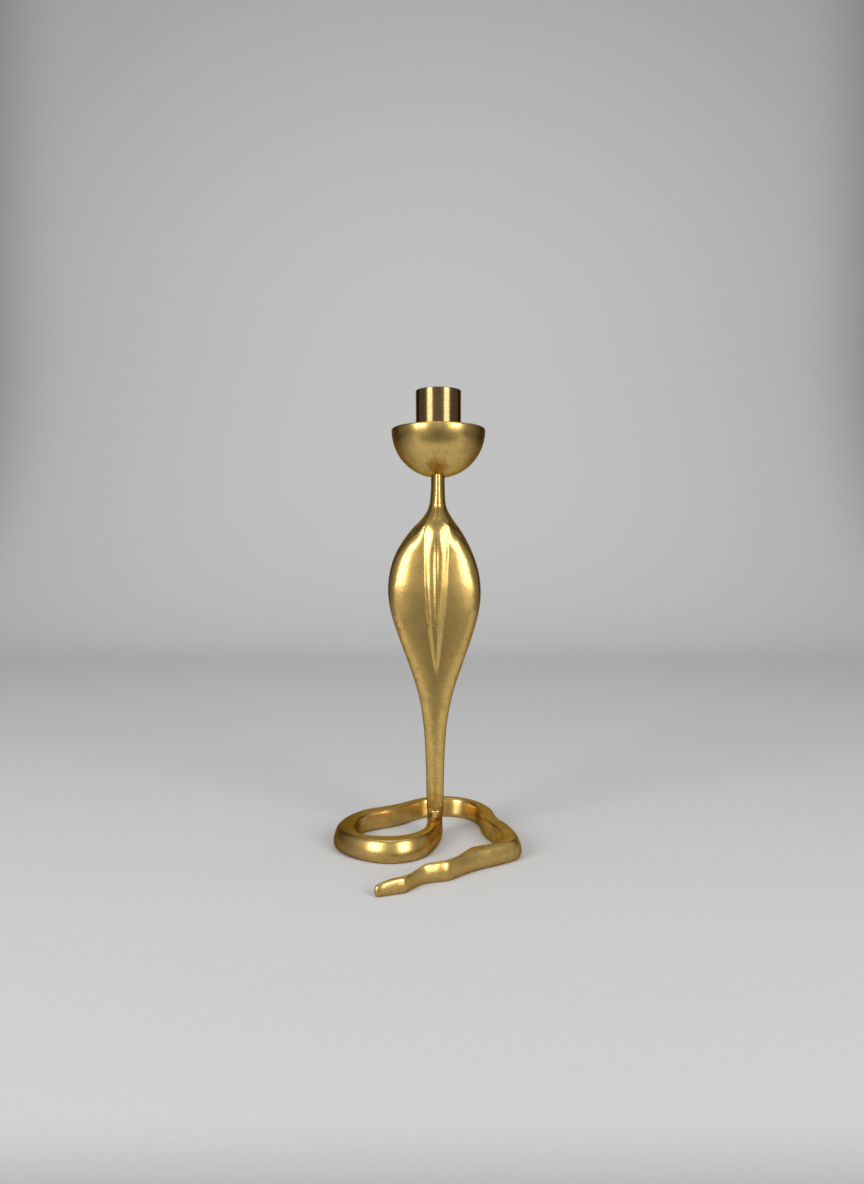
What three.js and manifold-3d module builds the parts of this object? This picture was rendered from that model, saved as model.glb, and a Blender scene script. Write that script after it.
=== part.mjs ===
import * as THREE from 'three';
import { LoftGeometry } from 'three/addons/geometries/LoftGeometry.js';
import { mergeVertices } from 'three/addons/utils/BufferGeometryUtils.js';
import Module from 'manifold-3d';

// A cast brass candle holder: a coiled tail stands on the table, the upright with its
// leaf-shaped hood is screwed to it, and a bowl and a candle socket are screwed on top.
// Lengths are millimetres. The candle's axis is x = 0, y = 0, the table is z = 0 and the
// hood faces -y; the last lines move the whole holder onto the middle of its outer box.

const wasm = await Module();
wasm.setup();

// Pieces that touch keep this gap between them
const gap = 0.3;

// Cutting and joining solids run this far past the faces that they meet
const overrun = 1;

// Candle socket: a turned tube sized for a 22 mm candle. The screw's head lies in a recess
// of its floor, so that the candle stands flat.
const candleBore = 22.2;
const socketTop = 240.4;
const socketFoot = 200.2;
const socketFloor = 5.8;
const recessRadius = 3.5;
const recessDepth = 3.8;
const socketRadiusTop = 12.4;
const socketRadiusFoot = 12.2;
const socketFootChamfer = 1;
const socketRimChamfer = 0.3;

// Drip bowl: a cast hemisphere with a round lip and a flat seat at its bottom
const bowlRadius = 25.5;
const bowlWall = 1.9;
const bowlCentreZ = 218.9;
const bowlSeatZ = 196.4;
const bowlHole = 4;
const bowlOutsideSteps = 13;
const bowlLipSteps = 5;
const bowlInsideSteps = 11;

// Distance ring between the round bowl and the flat foot of the socket
const spacerRadius = 6.8;

// Screws, washers and the holes that they run through
const screwRadius = 1.7;
const screwHeadRadius = 3;
const screwHeadHeight = 2.4;
const slotWidth = 0.9;
const slotDepth = 1;
const socketScrewLength = 19;
const baseScrewLength = 17;
const screwChamfer = 0.4;
const washerThickness = 0.6;
const washerRadius = 3.1;
const washerBore = 1.95;
const threadHole = 4;
const neckHoleDepth = 13;

// Joint between the upright and the coil: a square tenon held by the screw below it
const seamZ = 15.6;
const stemX = -1.85;
const stemY = -9.4;
const tenonSide = 4.9;
const tenonLength = 5;
const counterboreRadius = 3.4;
const counterboreTop = 5.3;
const stemHoleTop = 25;

// The upright, from its foot to the neck under the bowl. Each row holds a height, then
// the middle and half width of the outline, the half width of the hood's face, the depth
// at which the side edges lie, and how far the face and the bottle-shaped trunk behind it
// stand in front of those edges, and how far the back stands behind them.
const uprightRows = [
	[10, -1.85, 4.5, 4.5, -9.4, 5.0, 60, 5.0],
	[24, -1.85, 4.65, 4.65, -9.4, 5.0, 60, 5.0],
	[42, -1.85, 5.1, 5.1, -9.3, 5.2, 60, 5.1],
	[60, -1.8, 6.3, 6.3, -9.2, 5.5, 60, 5.1],
	[76, -1.6, 9.15, 9.15, -9.0, 5.9, 60, 5.0],
	[92, -1.55, 14.3, 14.3, -8.7, 6.4, 60, 4.9],
	[108, -1.75, 20.0, 20.0, -8.4, 6.8, 60, 5.0],
	[120, -2.0, 23.6, 23.6, -8.1, 7.1, 60, 5.3],
	[131, -2.2, 25.05, 25.1, -7.8, 7.4, 60, 6.0],
	[142, -2.3, 24.1, 24.7, -7.3, 7.7, 52, 7.1],
	[152, -2.3, 21.0, 23.4, -6.4, 8.2, 33, 8.2],
	[160, -1.8, 16.8, 21.0, -5.0, 8.9, 20, 8.8],
	[166, -1.3, 12.7, 18.5, -3.5, 9.5, 13, 8.8],
	[170, -0.8, 9.3, 16.5, -2.2, 9.9, 9.9, 8.4],
	[174, -0.5, 6.5, 15.0, -1.1, 10.5, 8.6, 8.0],
	[178, -0.45, 4.75, 14.0, -0.4, 11, 7.9, 7.8],
	[184, -0.35, 4.0, 13.0, 0, 12, 7.7, 7.7],
	[190, -0.3, 3.8, 12.5, 0, 12, 7.7, 7.7],
	[198, -0.3, 3.7, 12.0, 0, 12, 7.7, 7.7],
];
const faceSquareness = 2.7;
const backSquareness = 2.4;
const creaseRounding = 1.6;
const uprightTop = 196;

// Raised lancet down the middle of the hood: height, its middle, half width and relief
const lancetRows = [
	[84, -1.1, 0.8, 0],
	[89, -1.1, 0.9, 0.1],
	[95, -1.1, 1.9, 0.5],
	[102, -1.15, 2.8, 0.75],
	[117, -1.2, 4.7, 0.9],
	[134, -1.25, 5.9, 0.95],
	[150, -1.2, 6.3, 0.95],
	[160, -1.1, 6.4, 0.95],
	[166, -0.9, 5.2, 0.75],
	[169.5, -0.8, 3.2, 0.3],
	[172, -0.8, 2, 0],
];

// Heights of the upright's cross sections: even steps, closer where the shoulders turn
const heightSteps = [
	{ from: seamZ + gap / 2, to: 84, count: 14 },
	{ from: 84, to: 156, count: 22 },
	{ from: 156, to: 182, count: 16 },
	{ from: 182, to: uprightTop, count: 3 },
];
const lancetSpans = 8;
const flankSpans = 6;
const backSpans = 12;

// The lancet's spans reach a little past its edge, within these shares of the half width
const lancetMargin = 1.2;
const lancetReachLeast = 0.3;
const lancetReachMost = 0.7;

// The coil, from the seam under the upright, round to the left and back, and forward to
// the tip of the tail. Each row holds its place along the coil, the outer and the inner
// side as x, y, the height of the underside, how far the top leans forward, the height of
// the top above the underside, how far the crest stands in from the outer side, and the
// rounding of the corners.
const coilRows = [
	[0, 2.8, -4.4, -6.5, -4.4, seamZ - gap / 2, -10.3, 0, 3.6, 2.4],
	[1, 2.8, -4.5, -6.5, -4.5, 10, -11, 4.2, 3.5, 2.3],
	[2, 2.8, -5.9, -6.5, -5.9, 4.2, -11.4, 8.1, 3.4, 2.1],
	[3, 2.7, -9.2, -6.6, -9.2, 0.7, -10.6, 10.6, 3.3, 1.8],
	[4, 2.3, -15.5, -6.7, -15.5, 0, -8, 11.3, 3.1, 1.5],
	[5, 1.3, -23.5, -7.2, -23.3, 0, -5.3, 11.2, 2.9, 1.3],
	[6, -0.6, -31.9, -8.1, -30.1, 0, -2.6, 11.2, 2.5, 1.2],
	[7, -3, -40.1, -10, -35.9, 0, -0.8, 11.2, 2.3, 1.2],
	[8, -6.1, -46.7, -12.8, -40.2, 0, 0, 11.2, 2.3, 1.2],
	[9, -11.5, -53.1, -16.5, -43.1, 0, 0, 11.2, 2.3, 1.2],
	[10, -19, -57, -21, -44.9, 0, 0, 11.2, 2.3, 1.2],
	[11, -26.5, -57.5, -26.5, -45.4, 0, 0, 11.2, 2.3, 1.3],
	[12, -35.5, -54.6, -32.8, -44.4, 0, 0, 11.2, 2.3, 1.5],
	[13, -45, -47.8, -38.1, -41.3, 0, 0, 11.2, 2.4, 1.8],
	[14, -51.6, -39.1, -41, -36.1, 0, 0, 11.1, 2.6, 2],
	[15, -54.8, -30, -43.1, -29.4, 0, 0, 11, 2.7, 2],
	[16, -55.3, -20.5, -43.3, -21.4, 0, 0, 10.9, 2.7, 1.9],
	[17, -52.9, -9.5, -42.1, -12.4, 0, 0, 10.6, 2.6, 1.7],
	[18, -47.8, 1, -38.3, -5.1, 0, 0, 10.5, 2.5, 1.5],
	[19, -40.5, 8.7, -32.5, -0.3, 0, 0, 10.5, 2.3, 1.3],
	[20, -31.5, 13.8, -26, 3.7, 0, 0, 10.5, 2.3, 1.2],
	[21, -23, 19.8, -20, 8.9, 0, 0, 10.5, 2.3, 1.2],
	[22, -16, 27, -14.3, 16.1, 0, 0, 10.5, 2.3, 1.2],
	[23, -8.5, 32.9, -8.3, 22.2, 0, 0, 10.5, 2.3, 1.2],
	[24, 1.5, 35.8, 0.5, 24.9, 0, 0, 10.5, 2.3, 1.2],
	[25, 11.5, 34.6, 9.3, 24.3, 0, 0, 10.5, 2.3, 1.2],
	[26, 20, 29.2, 16, 19.9, 0, 0, 10.5, 2.3, 1.3],
	[27, 27.7, 19.3, 20.5, 12.6, 0, 0, 10.5, 2.3, 1.5],
	[28, 31.8, 6.8, 22.3, 3.1, 0, 0, 10.8, 2.3, 1.5],
	[29, 33.4, -5.5, 23, -6.4, 0, 0, 10.8, 2.3, 1.4],
	[30, 34.8, -14.5, 24.5, -14.9, 0, 0, 10.9, 2.3, 1.3],
	[31, 38, -22.5, 27.1, -22.9, 0, 0, 11, 2.4, 1.3],
	[32, 40.5, -31.5, 29.9, -31.7, 0, 0, 10.9, 2.5, 1.5],
	[33, 42, -41, 31.4, -39.9, 0, 0, 10.6, 2.5, 1.8],
	[34, 40.2, -49.9, 30.3, -48.2, 0, 0, 10.3, 2.2, 1.8],
	[35, 34.5, -55.7, 27, -53.1, 0, 0, 10.1, 1.8, 1.5],
	[36, 27, -61.3, 21.5, -55.5, 0, 0, 10, 1.5, 1.3],
	[37, 19.3, -66.3, 15.2, -58.9, 0, 0, 9.9, 1.3, 1.2],
	[38, 13.3, -71.6, 11.1, -65.6, 0, 0, 9.7, 1.3, 1.1],
	[39, 8.5, -76.5, 7.9, -70.8, 0, 0, 9.3, 1.2, 1],
	[40, 4.1, -80.8, 3.7, -74.6, 0, 0, 9, 1, 0.9],
	[41, -1.5, -82.4, -0.9, -76.8, 0, 0, 8.8, 0.9, 0.8],
	[42, -6.7, -84.4, -6.1, -79, 0, 0, 8.4, 0.9, 0.8],
	[43, -10.3, -88.1, -9.9, -82.6, 0, 0, 7.5, 1, 0.9],
	[44, -12.9, -92.3, -13.3, -87.2, 0, 0, 6.9, 1, 0.9],
	[45, -15.1, -95.6, -15.9, -90.4, 0, 0, 6.9, 0.8, 0.8],
	[46, -18.6, -97, -18.5, -91.7, 0, 0, 6.8, 0.7, 0.8],
	[47, -22.6, -98.7, -22.5, -93.5, 0, 0, 6.4, 0.8, 0.9],
	[48, -26.2, -100.2, -26.1, -95.7, 0, 0, 5.6, 1, 1],
	[49, -29, -100.1, -28.8, -97.3, 0, 0, 4.6, 0.9, 0.8],
];
const sectionsPerRow = 2;
const cornerSpans = 3;
const wallLean = 0.25;
const bulgeHeight = 0.42;
const undercut = 0.7;

// Shares of a row's rounding at the two lower corners and the crest, the bulge's rounding
// as a share of the height, and the share of a side that one rounding may take
const footInside = 0.7;
const footOutside = 0.9;
const crestOutside = 1.3;
const bulgeShare = 0.3;
const bulgeMost = 4;
const sideShare = 0.45;

// Steps round the turned pieces
const wideSteps = 44;
const ringSteps = 28;
const holeSteps = 24;
const screwSteps = 20;
const bowlCutSteps = 48;

const castBrass = { color: 0xae8a3a, roughness: 0.3 };
const turnedBrass = { color: 0x9a7438, roughness: 0.28 };
const fastenerBrass = { color: 0xb0935a, roughness: 0.38 };

// Smooth values through hand-set rows: the first number of a row is its position.
function smooth(rows) {
	const positions = rows.map((row) => row[0]);
	const values = rows.flatMap((row) => row.slice(1));
	const curve = new THREE.CubicInterpolant(positions, values, rows[0].length - 1);
	return (position) => Array.from(curve.evaluate(position));
}

// A closed geometry as a solid that can be cut and joined.
function solidOf(geometry) {
	const corners = new THREE.BufferGeometry().copy(geometry);
	corners.deleteAttribute('normal');
	corners.deleteAttribute('uv');
	const merged = mergeVertices(corners);
	return new wasm.Manifold(new wasm.Mesh({
		numProp: 3,
		vertProperties: merged.attributes.position.array,
		triVerts: new Uint32Array(merged.index.array),
	}));
}

function geometryOf(solid) {
	const { vertProperties, triVerts } = solid.getMesh();
	const geometry = new THREE.BufferGeometry();
	geometry.setAttribute('position', new THREE.BufferAttribute(vertProperties, 3));
	geometry.setIndex(new THREE.BufferAttribute(triVerts, 1));
	geometry.computeVertexNormals();
	return geometry;
}

// A profile of [radius, height] points turned about z, running counterclockwise.
function turned(points, segments) {
	const profile = points.map(([radius, height]) => new THREE.Vector2(radius, height));
	return new THREE.LatheGeometry(profile, segments).rotateX(Math.PI / 2);
}

// Points of an arc in a profile; angles are degrees above the outward direction.
function arc(centreRadius, centreHeight, radius, from, to, steps) {
	return Array.from({ length: steps + 1 }, (_, step) => {
		const angle = THREE.MathUtils.degToRad(from + (to - from) * step / steps);
		return [centreRadius + radius * Math.cos(angle), centreHeight + radius * Math.sin(angle)];
	});
}

// An upright round bar from one height to another, for holes.
function roundBar(radius, x, y, from, to) {
	const bar = turned([[0, from], [radius, from], [radius, to], [0, to]], holeSteps);
	return solidOf(bar.translate(x, y, 0));
}

function squareBar(side, x, y, from, to) {
	const bar = new THREE.BoxGeometry(side, side, to - from);
	return solidOf(bar.translate(x, y, (from + to) / 2));
}

function brass(name, geometry, finish) {
	const material = new THREE.MeshStandardMaterial({ ...finish, metalness: 1 });
	const mesh = new THREE.Mesh(geometry, material);
	mesh.name = name;
	return mesh;
}

// The lower of two values, with the crease where they cross rounded off.
function softLower(a, b, rounding) {
	const near = Math.max(rounding - Math.abs(a - b), 0) / rounding;
	return Math.min(a, b) - near * near * rounding / 4;
}

// How far a superellipse of unit size stands out at a distance from its middle.
function swell(distance, squareness) {
	return (1 - Math.min(Math.abs(distance), 1) ** squareness) ** (1 / squareness);
}

// Relief of the lancet: flat on top, with round shoulders down to its edge.
function lancetRelief(distance, halfWidth, relief) {
	return relief * Math.max(1 - (distance / halfWidth) ** 4, 0);
}

// One horizontal cross section of the upright, from the left edge along the front.
function uprightSection(z, upright, lancet) {
	const [middle, half, faceHalf, edgeY, face, trunk, back] = upright(z);
	const lancetZ = THREE.MathUtils.clamp(z, lancetRows[0][0], lancetRows.at(-1)[0]);
	const [lancetX, lancetHalf, relief] = lancet(lancetZ);
	const frontY = (x) => {
		const edge = (x - middle) / half;
		const onFace = face * swell((x - middle) / faceHalf, faceSquareness);
		const onTrunk = trunk * swell(edge, 2);
		const raised = lancetRelief(x - lancetX, lancetHalf, relief);
		const falling = swell(edge, faceSquareness);
		return edgeY - Math.min(softLower(onFace, onTrunk, creaseRounding * falling), trunk * falling)
			- raised * falling;
	};
	const points = [];
	const leastHalf = Math.max(lancetHalf * lancetMargin, half * lancetReachLeast);
	const innerHalf = Math.min(leastHalf, half * lancetReachMost);
	for (let step = 0; step < flankSpans; step ++) {
		const turn = step / flankSpans * Math.PI / 2;
		const x = middle - half + (half - innerHalf + lancetX - middle) * (1 - Math.cos(turn));
		points.push(new THREE.Vector3(x, step === 0 ? edgeY : frontY(x), z));
	}
	for (let step = 0; step <= lancetSpans; step ++) {
		const x = lancetX + innerHalf * (2 * step / lancetSpans - 1);
		points.push(new THREE.Vector3(x, frontY(x), z));
	}
	for (let step = flankSpans - 1; step >= 0; step --) {
		const turn = step / flankSpans * Math.PI / 2;
		const x = middle + half - (half - innerHalf - lancetX + middle) * (1 - Math.cos(turn));
		points.push(new THREE.Vector3(x, step === 0 ? edgeY : frontY(x), z));
	}
	for (let step = 1; step < backSpans; step ++) {
		const x = Math.cos(step / backSpans * Math.PI);
		const y = edgeY + back * swell(x, backSquareness);
		points.push(new THREE.Vector3(middle + half * x, y, z));
	}
	return points;
}

// The upright with its tenon below, its top cut to the bowl, and its two screw holes.
function makeUpright() {
	const upright = smooth(uprightRows);
	const lancet = smooth(lancetRows);
	const heights = [heightSteps[0].from];
	for (const { from, to, count } of heightSteps) {
		for (let step = 1; step <= count; step ++) heights.push(from + (to - from) * step / count);
	}
	const sections = heights.map((z) => uprightSection(z, upright, lancet));
	const casting = solidOf(new LoftGeometry(sections, { capStart: true, capEnd: true }));
	const tenonEnd = seamZ + gap / 2 - tenonLength;
	const tenon = squareBar(tenonSide, stemX, stemY, tenonEnd, seamZ + overrun);
	const bowl = new THREE.SphereGeometry(bowlRadius + gap, bowlCutSteps, bowlCutSteps)
		.translate(0, 0, bowlCentreZ);
	const neckHoleFloor = bowlCentreZ - bowlRadius - neckHoleDepth;
	const solid = casting.add(tenon)
		.subtract(solidOf(bowl))
		.subtract(roundBar(threadHole / 2, 0, 0, neckHoleFloor, uprightTop + overrun))
		.subtract(roundBar(threadHole / 2, stemX, stemY, 0, stemHoleTop));
	return brass('cobra_upright', geometryOf(solid), castBrass);
}

// The corners of the coil's section, each with its place across and up, and its rounding.
function coilCorners(width, height, crestInset, rounding) {
	return [
		[0, 0, rounding * footInside],
		[width - undercut, 0, rounding * footOutside],
		[width, height * bulgeHeight, Math.min(height * bulgeShare, bulgeMost)],
		[width - crestInset, height, rounding * crestOutside],
		[wallLean, height - wallLean, rounding],
	];
}

// The outline through those corners, each one rounded by a short curve.
function coilOutline(corners) {
	const spots = corners.map(([across, up]) => new THREE.Vector2(across, up));
	return corners.flatMap(([, , rounding], index) => {
		const corner = spots[index];
		const before = spots.at(index - 1).clone().sub(corner);
		const after = spots[(index + 1) % spots.length].clone().sub(corner);
		const reach = Math.min(rounding, before.length() * sideShare, after.length() * sideShare);
		const curve = new THREE.QuadraticBezierCurve(
			corner.clone().add(before.setLength(reach)),
			corner,
			corner.clone().add(after.setLength(reach)),
		);
		return curve.getPoints(cornerSpans);
	});
}

// One section of the coil; its underside never dips below the table.
function coilSection([outerX, outerY, innerX, innerY, underZ, leanY, rise, crestInset, rounding]) {
	const floorZ = Math.max(underZ, 0);
	const inner = new THREE.Vector3(innerX, innerY, floorZ);
	const across = new THREE.Vector3(outerX, outerY, floorZ).sub(inner);
	const up = new THREE.Vector3(0, leanY, rise);
	const outline = coilOutline(coilCorners(across.length(), up.length(), crestInset, rounding));
	across.normalize();
	up.normalize();
	return outline.map((point) => inner.clone()
		.addScaledVector(across, point.x)
		.addScaledVector(up, point.y));
}

// The coil with the mortise for the upright's tenon and the counterbored screw hole.
function makeCoil() {
	const coil = smooth(coilRows);
	const count = coilRows.at(-1)[0] * sectionsPerRow;
	const sections = Array.from({ length: count + 1 }, (_, step) => coilSection(coil(step / sectionsPerRow)));
	const casting = solidOf(new LoftGeometry(sections, { capStart: true, capEnd: true }));
	const mortiseFloor = seamZ - tenonLength - gap;
	const solid = casting
		.subtract(squareBar(tenonSide + 2 * gap, stemX, stemY, mortiseFloor, seamZ + overrun))
		.subtract(roundBar(threadHole / 2, stemX, stemY, 0, seamZ))
		.subtract(roundBar(counterboreRadius, stemX, stemY, -overrun, counterboreTop));
	return brass('coil_base', geometryOf(solid), castBrass);
}

function makeBowl() {
	const innerRadius = bowlRadius - bowlWall;
	const holeAngle = THREE.MathUtils.radToDeg(Math.acos(bowlHole / 2 / bowlRadius));
	const seatAngle = THREE.MathUtils.radToDeg(Math.asin((bowlCentreZ - bowlSeatZ) / innerRadius));
	const outside = arc(0, bowlCentreZ, bowlRadius, -holeAngle, 0, bowlOutsideSteps);
	const lip = arc(bowlRadius - bowlWall / 2, bowlCentreZ, bowlWall / 2, 0, 180, bowlLipSteps);
	const inside = arc(0, bowlCentreZ, innerRadius, 0, -seatAngle, bowlInsideSteps);
	const profile = [...outside, ...lip.slice(1), ...inside.slice(1), [bowlHole / 2, bowlSeatZ], outside[0]];
	return brass('drip_bowl', turned(profile, wideSteps), castBrass);
}

function makeSocket() {
	const bore = candleBore / 2;
	const floorTop = socketFoot + socketFloor;
	const recessFloor = floorTop - recessDepth;
	const holeRadius = bowlHole / 2;
	const profile = [
		[holeRadius, socketFoot],
		[socketRadiusFoot - socketFootChamfer, socketFoot],
		[socketRadiusFoot, socketFoot + socketFootChamfer],
		[socketRadiusTop, socketTop - socketRimChamfer],
		[socketRadiusTop - socketRimChamfer, socketTop],
		[bore + socketRimChamfer, socketTop],
		[bore, socketTop - socketRimChamfer],
		[bore, floorTop],
		[recessRadius, floorTop],
		[recessRadius, recessFloor],
		[holeRadius, recessFloor],
		[holeRadius, socketFoot],
	];
	return brass('candle_socket', turned(profile, wideSteps), turnedBrass);
}

function ring(name, outer, inner, height) {
	const profile = [[inner, 0], [outer, 0], [outer, height], [inner, height], [inner, 0]];
	return brass(name, turned(profile, ringSteps), fastenerBrass);
}

// A slotted cheese-head screw, standing on its tip; its head's underside is at z = 0.
function screw(name, length) {
	const profile = [
		[0, -length],
		[screwRadius - screwChamfer, -length],
		[screwRadius, -length + screwChamfer],
		[screwRadius, 0],
		[screwHeadRadius, 0],
		[screwHeadRadius, screwHeadHeight - screwChamfer],
		[screwHeadRadius - screwChamfer, screwHeadHeight],
		[0, screwHeadHeight],
	];
	const slot = new THREE.BoxGeometry(3 * screwHeadRadius, slotWidth, 2 * slotDepth);
	const body = solidOf(turned(profile, screwSteps));
	const solid = body.subtract(solidOf(slot.translate(0, 0, screwHeadHeight)));
	return brass(name, geometryOf(solid), fastenerBrass);
}

const holder = new THREE.Group();
holder.add(makeCoil(), makeUpright(), makeBowl(), makeSocket());

const spacerHeight = socketFoot - bowlSeatZ - 2 * gap;
const spacer = ring('socket_spacer', spacerRadius, bowlHole / 2, spacerHeight);
spacer.position.z = bowlSeatZ + gap;

const socketWasher = ring('socket_washer', washerRadius, washerBore, washerThickness);
socketWasher.position.z = socketFoot + socketFloor - recessDepth + gap;

const socketScrew = screw('socket_screw', socketScrewLength);
socketScrew.position.z = socketWasher.position.z + washerThickness + gap;

const baseWasher = ring('base_washer', washerRadius, washerBore, washerThickness);
baseWasher.position.set(stemX, stemY, counterboreTop - gap - washerThickness);

const baseScrew = screw('base_screw', baseScrewLength);
baseScrew.rotation.x = Math.PI;
baseScrew.position.set(stemX, stemY, baseWasher.position.z - gap);

holder.add(spacer, socketWasher, socketScrew, baseWasher, baseScrew);

const outerBox = new THREE.Box3().setFromObject(holder);
const middle = outerBox.getCenter(new THREE.Vector3());
holder.position.set(-middle.x, -middle.y, -outerBox.min.z);

const candleHolder = new THREE.Group();
candleHolder.add(holder);

export default candleHolder;
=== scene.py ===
"""A cast brass candle holder in the shape of a rearing cobra.

The coiled tail is the foot, the upright carries a leaf-shaped hood with a raised lancet, and
a round drip bowl and a turned candle socket stand on its neck. The visible castings are fine
surfaces worked out here from tables of sizes; the screws, washers and the spacer are the
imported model's own.
Lengths in the tables are millimetres from the candle's axis and the table, with the hood
facing -y; meshes are in metres.
"""

import math

import bpy
import numpy as np
from bpy.props import FloatProperty, FloatVectorProperty, IntProperty, PointerProperty
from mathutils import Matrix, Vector


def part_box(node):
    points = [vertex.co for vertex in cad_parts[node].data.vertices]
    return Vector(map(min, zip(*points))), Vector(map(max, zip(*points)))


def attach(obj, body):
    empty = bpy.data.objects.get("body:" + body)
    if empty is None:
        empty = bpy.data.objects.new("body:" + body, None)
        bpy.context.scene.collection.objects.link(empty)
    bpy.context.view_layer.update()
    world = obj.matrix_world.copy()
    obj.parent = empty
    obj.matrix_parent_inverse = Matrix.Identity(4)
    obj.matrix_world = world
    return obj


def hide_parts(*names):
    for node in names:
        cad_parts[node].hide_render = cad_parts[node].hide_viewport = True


bl_info = {
    "name": "Cobra Candle Holder",
    "version": (1, 0, 0),
    "blender": (4, 5, 0),
    "location": "View3D > Sidebar > Candle Holder",
    "description": "Builds a cast brass cobra candle holder on its packed model, with its studio",
    "category": "Add Mesh",
}

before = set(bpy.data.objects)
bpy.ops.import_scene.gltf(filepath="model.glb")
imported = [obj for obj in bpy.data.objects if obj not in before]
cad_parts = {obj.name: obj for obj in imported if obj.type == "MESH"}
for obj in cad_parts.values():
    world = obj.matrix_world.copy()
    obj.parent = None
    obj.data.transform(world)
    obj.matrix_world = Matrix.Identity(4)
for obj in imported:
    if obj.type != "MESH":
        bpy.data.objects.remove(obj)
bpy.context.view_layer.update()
MM = 0.001


def middle_of(node):
    """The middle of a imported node's box, in millimetres."""
    low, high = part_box(node)
    return (np.array(low) + np.array(high)) / 2 / MM


AXIS = middle_of("candle_socket") * (1, 1, 0)
SOCKET_LOW, SOCKET_HIGH = (np.array(corner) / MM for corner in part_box("candle_socket"))
BOWL_LOW, BOWL_HIGH = (np.array(corner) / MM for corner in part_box("drip_bowl"))
SCREW_HIGH = np.array(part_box("socket_screw")[1]) / MM

# The upright, from its foot to the neck. Each row holds a height, then the middle and half
# width of the outline, the half width of the hood's face, the depth at which the side edges
# lie, and how far the face and the trunk behind it stand in front of those edges, and how
# far the back stands behind them.
UPRIGHT_ROWS = [
    [10, -1.85, 4.5, 4.5, -9.4, 5.0, 60, 5.0],
    [24, -1.85, 4.65, 4.65, -9.4, 5.0, 60, 5.0],
    [42, -1.85, 5.1, 5.1, -9.3, 5.2, 60, 5.1],
    [60, -1.8, 6.3, 6.3, -9.2, 5.5, 60, 5.1],
    [76, -1.6, 9.15, 9.15, -9.0, 5.9, 60, 5.0],
    [92, -1.55, 14.3, 14.3, -8.7, 6.4, 60, 4.9],
    [108, -1.75, 20.0, 20.0, -8.4, 6.9, 30, 5.0],
    [120, -2.0, 23.6, 23.6, -7.4, 7.9, 20, 4.6],
    [131, -2.2, 25.05, 25.1, -5.6, 9.6, 17, 3.4],
    [142, -2.3, 24.1, 24.4, -3.9, 10.8, 15, 2.9],
    [152, -2.3, 21.0, 22.6, -2.6, 11.5, 15.2, 3.9],
    [160, -1.8, 16.8, 20.5, -1.2, 12.3, 15.6, 5.0],
    [166, -1.3, 12.7, 18.5, 0.2, 12.9, 14.9, 5.1],
    [170, -0.8, 9.3, 16.5, 0.9, 12.8, 12.8, 5.3],
    [174, -0.5, 6.5, 14.0, 0.8, 12.0, 10.4, 6.1],
    [177, -0.45, 5.05, 12.5, 0.4, 11.5, 8.4, 7.0],
    [180, -0.4, 4.35, 12.5, 0.1, 12, 7.8, 7.5],
    [184, -0.35, 4.0, 13.0, 0, 12, 7.7, 7.7],
    [190, -0.3, 3.8, 12.5, 0, 12, 7.7, 7.7],
    [198, -0.3, 3.7, 12.0, 0, 12, 7.7, 7.7],
]
FACE_SQUARENESS = [[84, 2.1], [108, 2.2], [125, 2.4], [135, 2.55]]
EDGE_SQUARENESS = [[84, 2.3], [108, 2.4], [125, 2.7]]
BACK_SQUARENESS = 2.4
CREASE_ROUNDINGS = [[130, 4], [150, 2.4], [158, 1.0], [164, 0.4], [172, 0.25]]

# Below the arch that bounds the face at the top, the face bends back on both sides: the arch's
# height in the middle, its fall per millimetre sideways, how far below it the bend starts, how
# strong it is, and how far from the middle it fades in.
ARCH_HEIGHT = 170.5
ARCH_FALL = 0.72
BEND_REACH = 10
BEND_STRENGTH = 0.03
BEND_SIDES = (6, 12)

# The seam between the coil and the upright, the part of the neck that ends in the bowl's round,
# the radius of the bowl's lip, and the gap between neck and bowl
SEAM_HEIGHT = 15.6
SEAM_GAP = 0.06
SEAM_ROUNDING = 0.15
NECK_STRAIGHT = 184
NECK_TOP = 194
LIP_RADIUS = 0.95
BOWL_GAP = 0.06

# The lancet on the hood: height, its middle, half width, relief, the depth of the valley
# along its middle, how square its section is, and how much its right half slants away.
LANCET_ROWS = [
    [84, -1.1, 0.8, 0, 0, 2, 0.7],
    [89, -1.1, 1.0, 0.2, 0, 2, 0.8],
    [95, -1.1, 2.0, 0.9, 0.03, 2.2, 0.9],
    [102, -1.15, 2.9, 1.4, 0.08, 2.6, 0.95],
    [117, -1.2, 4.7, 1.85, 0.2, 3.5, 0.9],
    [134, -1.25, 5.9, 1.55, 0.5, 3.4, 0.55],
    [145, -1.25, 6.2, 1.45, 0.6, 3.2, 0.2],
    [152, -1.2, 6.4, 1.5, 0.55, 2.8, 0],
    [156, -1.15, 6.5, 1.7, 0.45, 2, 0],
    [160, -1.1, 6.5, 1.85, 0.3, 1.45, 0],
    [163, -1.0, 6.3, 1.8, 0.25, 1.35, 0],
    [166, -0.9, 5.4, 1.1, 0.2, 1.4, 0],
    [168, -0.8, 4.4, 0.4, 0.1, 1.6, 0],
    [169.5, -0.8, 3.2, 0, 0, 2, 0],
]
LANCET_SHOULDER = 1.1
VALLEY_WIDTH = 1.3

# The chased line's place beside the candle's axis, and the heights between which it runs
BEAD_LINE_X = -1.35
BEAD_HEIGHTS = (98, 166)

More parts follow.
